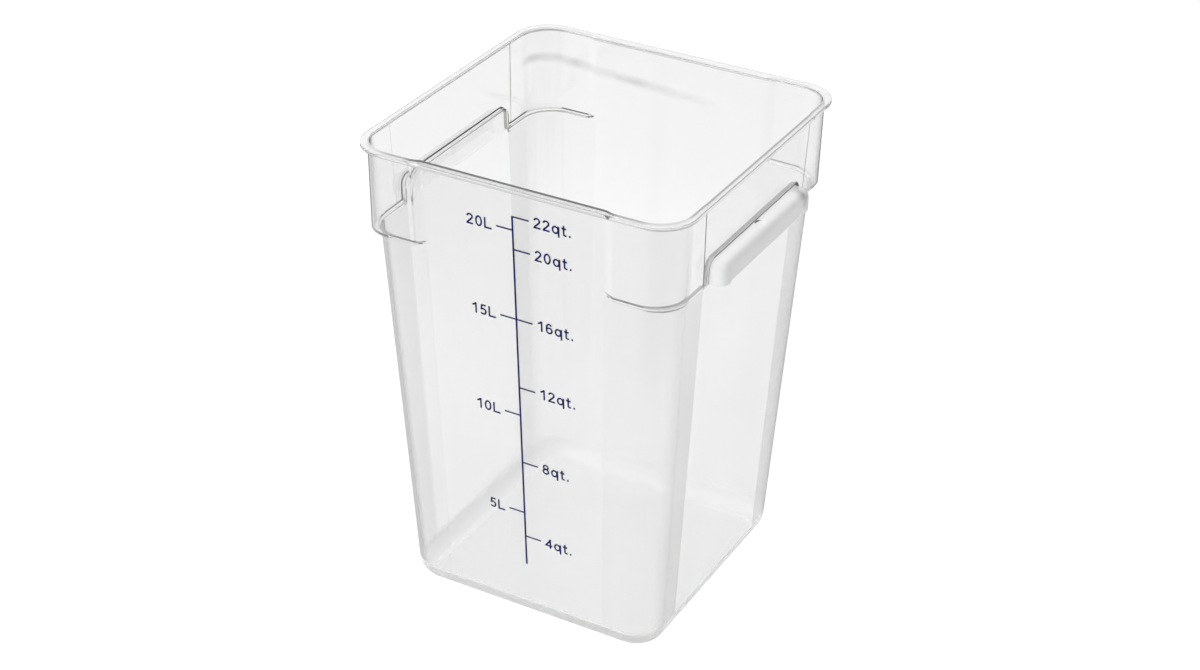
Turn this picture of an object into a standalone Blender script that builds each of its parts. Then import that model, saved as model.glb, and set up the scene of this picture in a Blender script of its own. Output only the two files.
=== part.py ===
"""Square clear food storage bucket with a white grip on each of two sides.

The bucket stands on the XY plane, its base centred on the origin, +Z up.
The graduated front faces -Y, and the grips are on the +X and -X sides.
Every size is in metres.
"""

import math

import bmesh
import bpy
from mathutils import Matrix, Vector

# Overall size and wall
HEIGHT = 0.400
RIM_WIDTH = 0.280
WALL = 0.0028
FLOOR = 0.0034

# Rim flange round the mouth
RIM_CORNER = 0.0294
LIP_THICKNESS = 0.0035
LIP_OVERHANG = 0.0044
LIP_ROUND = 0.0011
MOUTH_ROUND = 0.0010

# Band below the rim, which stands out from the body at the four corners
BAND_HEIGHT = 0.07275
BAND_DRAFT = math.radians(1.89)
BAND_CORNER_LOW = 0.0220
BAND_CORNER_HIGH = 0.0277
LEDGE_STEP = 0.00372
LEDGE_ROUND = 0.0008
LEDGE_FILLET = 0.0016

# Centre panel of the front and back, flush with the body up to the rim
PANEL_HALF = 0.0753
PANEL_DRAFT = math.radians(1.04)
RAMP_RUN = 0.0100
RAMP_LIFT = 0.0025

# Handle sides, where the band runs right across
SIDE_LINE = 0.0875
SIDE_STEP = 0.0008
SIDE_RUN = 0.0010
NOTCH_HALF = 0.0752
NOTCH_RISE = 0.01935
NOTCH_ROUND = 0.0065
NOTCH_DRAFT = 0.0003

# Tapered body below the band
BODY_DRAFT = math.radians(3.07)
BODY_CORNER = 0.0275
CORNER_TAPER = 0.0077
COLUMN_STEP = 0.0004
COLUMN_RUN = 0.0030
FOOT_ROUND = 0.0168

# White grips seated in the notches
SEAT_GAP = 0.0003
GRIP_REACH = 0.0123
GRIP_HEIGHT = 0.0195
GRIP_END_ROUND = 0.0090
GRIP_TOP_ROUND = 0.0078
GRIP_LOWER_ROUND = 0.0025
GRIP_END_LENGTH = 0.0095
GRIP_WAIST = 0.0008
GRIP_SHOULDER = 0.0012
GRIP_SKIN = 0.0030
GROOVE_END = 0.0110
GROOVE_ROUND = 0.0022
DIMPLE_RADIUS = 0.0042
DIMPLE_DEPTH = 0.0009
DIMPLE_INSET = 0.0085

# How finely the round stretches are cut
ARC_STEPS = 8
NOTCH_STEPS = 5
FOOT_STEPS = 5
GRIP_STEPS = 6
DIMPLE_STEPS = 24
SHARP_ANGLE = math.radians(28)
MERGE = 0.00001

# Levels and clearances that follow from the sizes
LEDGE_Z = HEIGHT - BAND_HEIGHT
LIP_Z = HEIGHT - LIP_THICKNESS
NOTCH_Z = LEDGE_Z + NOTCH_RISE
BAND_FOOT_Z = NOTCH_Z + WALL + 2 * LEDGE_FILLET


def band_half(z):
    """Half width of the corner lugs of the band at height z."""
    return RIM_WIDTH / 2 - LIP_OVERHANG - (LIP_Z - z) * math.tan(BAND_DRAFT)


def body_half(z):
    """Half width of the tapered body, and of the flush panels, at height z."""
    return band_half(LEDGE_Z) - LEDGE_STEP - (LEDGE_Z - z) * math.tan(BODY_DRAFT)


def panel_half(z):
    """Half width of the flat panel between the corner columns at height z."""
    return PANEL_HALF - (LEDGE_Z - z) * math.tan(PANEL_DRAFT)


def band_corner(z):
    """Corner radius of the band at height z."""
    share = (z - LEDGE_Z) / (LIP_Z - LEDGE_Z)
    return BAND_CORNER_LOW + share * (BAND_CORNER_HIGH - BAND_CORNER_LOW)


def body_corner(z):
    """Corner radius of the body at height z."""
    return BODY_CORNER - (LEDGE_Z - z) * CORNER_TAPER


def notch_path(offset):
    """Half of the band's lower edge on a handle side, as (y, z) points.

    It climbs the notch's end wall, turns over its round corner and ends at
    the middle. offset moves it into the wall, square to itself.
    """
    centre_y = NOTCH_HALF - NOTCH_ROUND
    centre_z = NOTCH_Z - NOTCH_ROUND
    radius = NOTCH_ROUND + offset
    points = [(NOTCH_HALF + NOTCH_DRAFT + offset, LEDGE_Z + offset)]
    for step in range(NOTCH_STEPS + 1):
        angle = math.pi / 2 * step / NOTCH_STEPS
        points.append((centre_y + radius * math.cos(angle), centre_z + radius * math.sin(angle)))
    points.append((0.0, NOTCH_Z + offset))
    return points


def corner_arc(half, radius, z):
    """Points of one round corner, from the front's end to the side's."""
    centre = half - radius
    points = []
    for step in range(ARC_STEPS + 1):
        angle = math.pi / 2 * (1 - step / ARC_STEPS)
        points.append(Vector((centre + radius * math.cos(angle), centre + radius * math.sin(angle), z)))
    return points


def body_ring(z, half):
    """A quarter outline of the body at height z, whose flat panels lie at half."""
    proud = half + COLUMN_STEP
    panel = panel_half(z)
    radius = body_corner(z) - (body_half(z) - half)
    front = [Vector((0, half, z)), Vector((panel, half, z)), Vector((panel + COLUMN_RUN, proud, z))]
    arc = corner_arc(proud, radius, z)
    arc_end = arc[-1].y
    facet = panel + COLUMN_RUN
    side = [Vector((proud, arc_end + (facet - arc_end) * share, z)) for share in (1 / 3, 2 / 3, 1)]
    for y, _ in notch_path(0)[1:-1]:
        side.append(Vector((half, panel - (NOTCH_HALF - y), z)))
    side.append(Vector((half, 0, z)))
    return front + arc + side


def band_ring(z, inset, path_offset):
    """A quarter outline of the band at height z, inset from its outer face.

    path_offset is that of the notch path whose columns the ring continues.
    """
    half = band_half(z) - inset
    panel = panel_half(z)
    flush = body_half(z) - inset
    front = [Vector((0, flush, z)), Vector((panel, flush, z)), Vector((panel + RAMP_RUN, half, z))]
    arc = corner_arc(half, band_corner(z) - inset, z)
    side = [Vector((half, SIDE_LINE + SIDE_RUN, z)), Vector((half + SIDE_STEP, SIDE_LINE, z))]
    side += [Vector((half + SIDE_STEP, y, z)) for y, _ in notch_path(path_offset)]
    return front + arc + side


def rim_ring(z, inset):
    """A quarter outline of the rim flange at height z, inset from its edge."""
    half = RIM_WIDTH / 2 - inset
    panel = panel_half(z)
    front = [Vector((x, half, z)) for x in (0, panel, panel + RAMP_RUN)]
    side = [Vector((half, y, z)) for y in (SIDE_LINE + SIDE_RUN, SIDE_LINE)]
    side += [Vector((half, y, z)) for y, _ in notch_path(LEDGE_ROUND)]
    return front + corner_arc(half, RIM_CORNER - inset, z) + side


def ledge_ring(out, rise, flush_rise, inset):
    """A quarter outline along the ledge under the band.

    out is how far the ring stands out from the body's face, where more than
    the ledge's step means the band's own face. rise is how far it lies inside
    the wall from the ledge's underside, and flush_rise its height on the flush
    panels, which have no ledge. inset is 0 outside, and the wall inside.
    """
    corner_z = LEDGE_Z + rise
    step = band_half(corner_z) - body_half(corner_z)
    share = min(out / step, 1.0)
    radius = band_corner(corner_z) * share + body_corner(corner_z) * (1 - share) - inset
    proud = COLUMN_STEP * (1 - share)
    flush_z = LEDGE_Z + RAMP_LIFT + flush_rise
    corner_half = body_half(corner_z) - inset + step * share
    ring = [Vector((0, body_half(flush_z) - inset, flush_z))]
    ring.append(Vector((panel_half(flush_z), body_half(flush_z) - inset, flush_z)))
    ramp_end = panel_half(corner_z) + RAMP_RUN
    ring.append(Vector((ramp_end, corner_half + proud, corner_z)))
    ring += corner_arc(corner_half + proud, radius, corner_z)
    ring.append(Vector((corner_half + proud, SIDE_LINE + SIDE_RUN, corner_z)))
    ring.append(Vector((corner_half + proud + SIDE_STEP * share, SIDE_LINE, corner_z)))
    for index, (y, z) in enumerate(notch_path(rise)):
        reach = share * (band_half(z) + SIDE_STEP - body_half(z))
        foot = proud if index == 0 else 0.0
        ring.append(Vector((body_half(z) - inset + foot + reach, y, z)))
    return ring


def foot_rings(radius, floor_z, inset):
    """Quarter outlines round a bottom edge, from the flat up to the wall."""
    wall_foot = body_half(floor_z + radius) - inset
    centre = wall_foot - radius / math.cos(BODY_DRAFT)
    rings = []
    for step in range(FOOT_STEPS + 1):
        angle = -math.pi / 2 + (math.pi / 2 - BODY_DRAFT) * step / FOOT_STEPS
        half = centre + radius * math.cos(angle)
        rings.append(body_ring(floor_z + radius + radius * math.sin(angle), half))
    return rings


def outer_rings():
    """Quarter outlines up the outside, from the base to the flange's edge."""
    turn = LEDGE_ROUND * (1 - math.sqrt(0.5))
    step = LEDGE_STEP
    low = LEDGE_Z - 2 * LEDGE_ROUND
    rings = foot_rings(FOOT_ROUND, 0.0, 0.0)
    rings.append(body_ring(low, body_half(low)))
    rings.append(ledge_ring(0.0, 0.0, -LEDGE_ROUND, 0.0))
    rings.append(ledge_ring(step - LEDGE_ROUND, 0.0, 0.0, 0.0))
    rings.append(ledge_ring(step - turn, turn, turn, 0.0))
    rings.append(ledge_ring(2 * step, LEDGE_ROUND, LEDGE_ROUND, 0.0))
    rings.append(band_ring(BAND_FOOT_Z, 0.0, LEDGE_ROUND))
    rings.append(band_ring(LIP_Z, 0.0, LEDGE_ROUND))
    return rings


def lip_rings():
    """Quarter outlines round the flange's edge, from its underside to its top."""
    turn = LIP_ROUND * (1 - math.sqrt(0.5))
    rings = [rim_ring(LIP_Z, LIP_ROUND), rim_ring(LIP_Z + turn, turn), rim_ring(LIP_Z + LIP_ROUND, 0.0)]
    rings += [rim_ring(HEIGHT - LIP_ROUND, 0.0), rim_ring(HEIGHT - turn, turn), rim_ring(HEIGHT, LIP_ROUND)]
    return rings


def inner_rings():
    """Quarter outlines down the inside, from the mouth to the floor."""
    mouth_turn = MOUTH_ROUND * (1 - math.sqrt(0.5))
    fillet_turn = LEDGE_FILLET * (1 - math.sqrt(0.5))
    step = LEDGE_STEP
    low = LEDGE_Z - 2 * LEDGE_ROUND
    path = WALL + LEDGE_FILLET
    rings = [band_ring(HEIGHT, WALL - MOUTH_ROUND, path)]
    rings.append(band_ring(HEIGHT - mouth_turn, WALL - mouth_turn, path))
    rings.append(band_ring(HEIGHT - MOUTH_ROUND, WALL, path))
    rings.append(band_ring(BAND_FOOT_Z, WALL, path))
    rings.append(ledge_ring(2 * step, WALL + LEDGE_FILLET, WALL + LEDGE_FILLET, WALL))
    rings.append(ledge_ring(step - fillet_turn, WALL + fillet_turn, WALL + fillet_turn, WALL))
    rings.append(ledge_ring(step - LEDGE_FILLET, WALL, WALL, WALL))
    rings.append(ledge_ring(LEDGE_ROUND, WALL, WALL - LEDGE_ROUND / 2, WALL))
    rings.append(ledge_ring(0.0, WALL - LEDGE_ROUND, WALL - LEDGE_ROUND, WALL))
    rings.append(body_ring(low, body_half(low) - WALL))
    floor = foot_rings(FOOT_ROUND - WALL, FLOOR, WALL)
    return rings + floor[::-1]


def material(name, colour, roughness, transmission=0.0, ior=1.5):
    """A plain finish for one kind of plastic."""
    finish = bpy.data.materials.new(name)
    finish.use_nodes = True
    shader = finish.node_tree.nodes["Principled BSDF"]
    shader.inputs["Base Color"].default_value = (*colour, 1.0)
    shader.inputs["Roughness"].default_value = roughness
    shader.inputs["Metallic"].default_value = 0.0
    shader.inputs["Transmission Weight"].default_value = transmission
    shader.inputs["IOR"].default_value = ior
    return finish


def add_object(name, mesh, collection, finish=None):
    """Put a mesh in a collection as a named object."""
    if finish:
        mesh.materials.append(finish)
    made = bpy.data.objects.new(name, mesh)
    collection.objects.link(made)
    return made


def mesh_from(bm, name):
    """Turn a bmesh into a mesh and free it."""
    mesh = bpy.data.meshes.new(name)
    bm.to_mesh(mesh)
    bm.free()
    return mesh


def loft_quarter(rings):
    """One quarter of the shell, lofted through its outlines, open at both planes."""
    bm = bmesh.new()
    grid = [[bm.verts.new(point) for point in ring] for ring in rings]
    for low, high in zip(grid, grid[1:]):
        for first in range(len(low) - 1):
            bm.faces.new((low[first], high[first], high[first + 1], low[first + 1]))
    base_centre = bm.verts.new((0, 0, rings[0][0].z))
    floor_centre = bm.verts.new((0, 0, rings[-1][0].z))
    bm.faces.new(grid[0] + [base_centre])
    bm.faces.new(grid[-1][::-1] + [floor_centre])
    return bm


def build_bucket(collection, finish):
    """The clear bucket: a quarter loft mirrored across both middle planes."""
    rings = outer_rings() + lip_rings() + inner_rings()
    bucket = add_object("bucket_body", mesh_from(loft_quarter(rings), "bucket_body"), collection, finish)
    mirror = bucket.modifiers.new("both sides", "MIRROR")
    mirror.use_axis = (True, True, False)
    mirror.merge_threshold = MERGE
    bucket.data.shade_smooth()
    bucket.data.set_sharp_from_angle(angle=SHARP_ANGLE)
    return bucket


def box_bmesh(low, high):
    """A box between two corners."""
    bm = bmesh.new()
    size = Vector(high) - Vector(low)
    middle = (Vector(high) + Vector(low)) / 2
    bmesh.ops.create_cube(bm, size=1.0, matrix=Matrix.Translation(middle) @ Matrix.Diagonal((*size, 1)))
    return bm


def round_edges(bm, test, radius, segments):
    """Round the edges that pass a test of their two ends."""
    edges = [edge for edge in bm.edges if test(edge.verts[0].co, edge.verts[1].co)]
    bmesh.ops.bevel(bm, geom=edges, offset=radius, segments=segments, profile=0.5,
                    affect="EDGES", material=-1)


def grip_back(z):
    """Where the back of a grip lies at height z, clear of the drafted wall."""
    return body_half(z) + COLUMN_STEP + SEAT_GAP / math.cos(BODY_DRAFT)


def cut_back(bm):
    """Trim the back of a grip to the slope of the wall behind it."""
    slope = Vector((math.cos(BODY_DRAFT), 0, -math.sin(BODY_DRAFT)))
    bmesh.ops.bisect_plane(bm, geom=bm.verts[:] + bm.edges[:] + bm.faces[:], dist=1e-6,
                           plane_co=(grip_back(LEDGE_Z), 0, LEDGE_Z), plane_no=slope, clear_inner=True)
    rim = [edge for edge in bm.edges if edge.is_boundary]
    bmesh.ops.edgeloop_fill(bm, edges=rim)


def draw_in_waist(bm, end, top, front, bottom):
    """Make the middle of a grip a little slimmer than its two end blocks."""
    shoulder = end - GRIP_END_LENGTH
    for y in (shoulder, shoulder - GRIP_SHOULDER, -shoulder, GRIP_SHOULDER - shoulder):
        bmesh.ops.bisect_plane(bm, geom=bm.verts[:] + bm.edges[:] + bm.faces[:], dist=1e-6,
                               plane_co=(0, y, 0), plane_no=(0, 1, 0))
    deeper = 1 - GRIP_WAIST / (front - grip_back(top))
    shorter = 1 - GRIP_WAIST / (top - bottom)
    for vert in bm.verts:
        if abs(vert.co.y) < shoulder - GRIP_SHOULDER / 2:
            out = vert.co.x - grip_back(vert.co.z)
            vert.co.z = top - (top - vert.co.z) * shorter
            vert.co.x = grip_back(vert.co.z) + out * deeper


def build_grip(collection, cutters, finish):
    """One grip, on the +X side, with its finger groove and its dimple."""
    top = NOTCH_Z - SEAT_GAP
    bottom = top - GRIP_HEIGHT
    end = NOTCH_HALF - SEAT_GAP
    front = band_half(NOTCH_Z) + SIDE_STEP + GRIP_REACH
    start = grip_back(bottom) - GRIP_HEIGHT / 2
    middle = (start + front) / 2
    top_round = min(GRIP_TOP_ROUND, 0.9 * GRIP_END_ROUND)
    bm = box_bmesh((start, -end, bottom), (front, end, top))
    round_edges(bm, lambda a, b: a.x > middle and b.x > middle and abs(a.z - b.z) > SEAT_GAP,
                GRIP_END_ROUND, GRIP_STEPS)
    for level, radius, segments in ((top, top_round, GRIP_STEPS - 1), (bottom, GRIP_LOWER_ROUND, 2)):
        round_edges(bm, lambda a, b: abs(a.z - level) + abs(b.z - level) < SEAT_GAP
                    and max(a.x, b.x) > middle, radius, segments)
    cut_back(bm)
    draw_in_waist(bm, end, top, front, bottom)
    grip = add_object("grip_right", mesh_from(bm, "grip"), collection, finish)

    groove_bottom = bottom - GRIP_SKIN
    groove = box_bmesh((grip_back(top) + GRIP_SKIN, GROOVE_END - end, groove_bottom),
                       (front - GRIP_WAIST - GRIP_SKIN, end - GROOVE_END, top - GRIP_SKIN))
    round_edges(groove, lambda a, b: max(a.z, b.z) > bottom, GROOVE_ROUND, 3)
    groove_cutter = add_object("groove_cutter", mesh_from(groove, "groove_cutter"), cutters)

    dimple = bmesh.new()
    place = Matrix.Translation((front - DIMPLE_INSET, 0, top))
    bmesh.ops.create_cone(dimple, cap_ends=True, segments=DIMPLE_STEPS, radius1=DIMPLE_RADIUS,
                          radius2=DIMPLE_RADIUS, depth=2 * DIMPLE_DEPTH, matrix=place)
    dimple_cutter = add_object("dimple_cutter", mesh_from(dimple, "dimple_cutter"), cutters)

    for cutter in (groove_cutter, dimple_cutter):
        cutter.hide_render = True
        cutter.display_type = "WIRE"
        cut = grip.modifiers.new(cutter.name, "BOOLEAN")
        cut.operation = "DIFFERENCE"
        cut.object = cutter
    grip.data.shade_smooth()
    grip.data.set_sharp_from_angle(angle=SHARP_ANGLE)
    return grip


def turned_copy(piece, name, collection):
    """The same piece on the opposite side, turned half round about Z."""
    mesh = bpy.data.meshes.new_from_object(piece.evaluated_get(bpy.context.evaluated_depsgraph_get()))
    copy = add_object(name, mesh, collection)
    copy.rotation_euler = (0, 0, math.pi)
    return copy


def main():
    for old in list(bpy.data.objects):
        bpy.data.objects.remove(old, do_unlink=True)
    parts = bpy.data.collections.new("square storage bucket")
    cutters = bpy.data.collections.new("cutters")
    bpy.context.scene.collection.children.link(parts)
    bpy.context.scene.collection.children.link(cutters)
    clear = material("clear polycarbonate", (0.93, 0.95, 0.96), 0.06, transmission=1.0, ior=1.585)
    white = material("white grip plastic", (0.86, 0.87, 0.88), 0.35)
    build_bucket(parts, clear)
    grip = build_grip(parts, cutters, white)
    turned_copy(grip, "grip_left", parts)


main()
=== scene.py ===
"""Looks of a square clear food storage bucket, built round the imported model.

Lengths are in metres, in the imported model's frame: the base's centre is at
the origin, +Z is up, the graduated front faces -Y, and a white grip sits on
the +X and the -X side.
"""

import logging
import math
from dataclasses import dataclass
from enum import Enum
from typing import Callable, Iterable

import bmesh
import bpy
from bmesh.types import BMesh, BMVert
from bpy.types import ID, Material, Mesh, NodeSocket, Object, World
from mathutils import Matrix, Vector


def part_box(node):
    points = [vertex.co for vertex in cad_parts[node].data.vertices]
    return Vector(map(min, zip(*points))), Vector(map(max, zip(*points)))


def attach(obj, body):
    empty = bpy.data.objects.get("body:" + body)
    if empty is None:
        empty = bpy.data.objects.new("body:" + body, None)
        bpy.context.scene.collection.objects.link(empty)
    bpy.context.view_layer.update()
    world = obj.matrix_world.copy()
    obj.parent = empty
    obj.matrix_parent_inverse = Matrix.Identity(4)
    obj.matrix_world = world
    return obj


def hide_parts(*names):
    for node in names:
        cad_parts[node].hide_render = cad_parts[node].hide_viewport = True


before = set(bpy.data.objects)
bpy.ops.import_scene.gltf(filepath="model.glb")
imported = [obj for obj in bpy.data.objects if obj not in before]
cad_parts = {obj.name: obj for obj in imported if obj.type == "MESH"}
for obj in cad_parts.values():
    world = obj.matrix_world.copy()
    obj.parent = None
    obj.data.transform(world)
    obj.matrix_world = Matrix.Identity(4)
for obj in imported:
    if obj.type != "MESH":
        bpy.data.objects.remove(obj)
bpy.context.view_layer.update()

LOG = logging.getLogger("bucket")
BODY = "root"
WHITE = (1.0, 1.0, 1.0)
WINDOW_BLUR = 0.1
NORMAL_WEIGHT = 80
CUT_SLACK = 1e-7
TINY_SHARE = 0.01
ARC_STEP = 12
Colour = tuple[float, float, float]
Place = tuple[float, float, float]
Span = tuple[float, float]
Round = tuple[float, int]
Outline = list[Vector]
Stroke = list[Span]


class Slot(Enum):
    """Names of the record's material slots."""

    CLEAR = "clear_body"
    WHITE = "white_grip"


class Axis(Enum):
    """A horizontal axis, by its place in a point."""

    X = 0
    Y = 1


def maths(operation: str, swapped: bool = False) -> "Callable[..., Value]":
    """Return a method of Value that adds one Math node, with the value second if swapped."""
    def method(self: "Value", other: "Value | float" = 0.0) -> "Value":
        """Return the node's output."""
        operands = (other, self) if swapped else (self, other)
        return self.graph.node("ShaderNodeMath", {"operation": operation}, dict(enumerate(operands)))
    return method


@dataclass(frozen=True, eq=False)
class Value:
    """A shader output that takes part in Python expressions."""

    graph: "Graph"
    socket: NodeSocket

    __add__, __radd__ = maths("ADD"), maths("ADD", swapped=True)
    __sub__, __rsub__ = maths("SUBTRACT"), maths("SUBTRACT", swapped=True)
    __mul__, __rmul__ = maths("MULTIPLY"), maths("MULTIPLY", swapped=True)
    __pow__, __abs__ = maths("POWER"), maths("ABSOLUTE")
    lesser, greater = maths("MINIMUM"), maths("MAXIMUM")

    def rise(self, start: float, end: float) -> "Value":
        """Return an eased rise from 0, where self is at the start, to 1 at the end."""
        return self.graph.node("ShaderNodeMapRange", {"interpolation_type": "SMOOTHSTEP"},
                               {"Value": self, "From Min": start, "From Max": end})

    def fall(self, start: float, end: float) -> "Value":
        """Return an eased fall from 1, where self is at the start, to 0 at the end."""
        return 1 - self.rise(start, end)

    def window(self, width: float) -> "Value":
        """Return 1 where self lies between 0 and a width, and 0 elsewhere."""
        blur = WINDOW_BLUR * width
        return self.rise(-blur, blur) * self.fall(width - blur, width + blur)


class Graph:
    """A node tree, with one method for every kind of node."""

    def __init__(self, owner: Material | World, output: str) -> None:
        """Leave only an output node in the tree of a material or world."""
        owner.use_nodes = True
        self.owner = owner
        self.tree = owner.node_tree
        self.tree.nodes.clear()
        self.output = self.tree.nodes.new(output)

    @classmethod
    def for_material(cls, name: str) -> "Graph":
        """Return the empty graph of a new material."""
        return cls(bpy.data.materials.new(name), "ShaderNodeOutputMaterial")

    def node(self, kind: str, settings: dict | None = None, inputs: dict | None = None,
             output: str | int = 0) -> Value:
        """Add a node.

        Args:
            kind: the node's type.
            settings: properties that are set first.
            inputs: a value, a colour or a link for each named or numbered socket.
            output: which output is wanted.

        Returns:
            The wanted output.
        """
        made = self.tree.nodes.new(kind)
        for key, value in (settings or {}).items():
            setattr(made, key, value)
        for key, value in (inputs or {}).items():
            if isinstance(value, Value):
                self.tree.links.new(value.socket, made.inputs[key])
            else:
                made.inputs[key].default_value = (*value, 1.0) if isinstance(value, tuple) else value
        return Value(self, made.outputs[output])

    def coordinates(self, kind: str) -> tuple[Value, Value, Value, Value]:
        """Return one kind of texture coordinates as a vector and as x, y and z."""
        point = self.node("ShaderNodeTexCoord", output=kind)
        parts = [self.node("ShaderNodeSeparateXYZ", inputs={"Vector": point}, output=axis) for axis in "XYZ"]
        return point, *parts

    def noise(self, point: Value, scale: float) -> Value:
        """Return a noise, about 0.5 on average, with so many waves for each metre."""
        return self.node("ShaderNodeTexNoise", inputs={"Vector": point, "Scale": scale, "Detail": 2.0})

    def bump(self, height: Value, distance: float, strength: float) -> Value:
        """Return the normal of a grain."""
        inputs = {"Strength": strength, "Distance": distance, "Height": height}
        return self.node("ShaderNodeBump", inputs=inputs)

    def blend(self, share: Value, first: "Value | Colour", second: "Value | Colour") -> Value:
        """Return the colour at a share of the way from the first to the second."""
        return self.node("ShaderNodeMix", {"data_type": "RGBA"}, {0: share, 6: first, 7: second}, 2)

    def principled(self, inputs: dict) -> Value:
        """Return a Principled shader."""
        return self.node("ShaderNodeBsdfPrincipled", inputs=inputs)

    def mix(self, share: Value, first: Value, second: Value) -> Value:
        """Return the shader at a share of the way from the first to the second."""
        return self.node("ShaderNodeMixShader", inputs={0: share, 1: first, 2: second})

    def background(self, strength: "Value | float") -> Value:
        """Return a white sky's shader."""
        return self.node("ShaderNodeBackground", inputs={"Color": WHITE, "Strength": strength})

    def light_path(self, question: str) -> Value:
        """Return 1 for rays of the kind that the question names, and 0 for others."""
        return self.node("ShaderNodeLightPath", output=question)

    def see_through(self, level: float) -> Value:
        """Return a shader that lets through so much of the light."""
        return self.node("ShaderNodeBsdfTransparent", inputs={"Color": grey(level)})

    def finish(self, surface: Value, volume: Value | None = None) -> Material | World:
        """Link the shaders of the surface and of what is inside, and return the tree's owner."""
        self.tree.links.new(surface.socket, self.output.inputs["Surface"])
        if volume:
            self.tree.links.new(volume.socket, self.output.inputs["Volume"])
        return self.owner


def grey(level: float) -> Colour:
    """Return a grey colour."""
    return (level, level, level)


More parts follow.
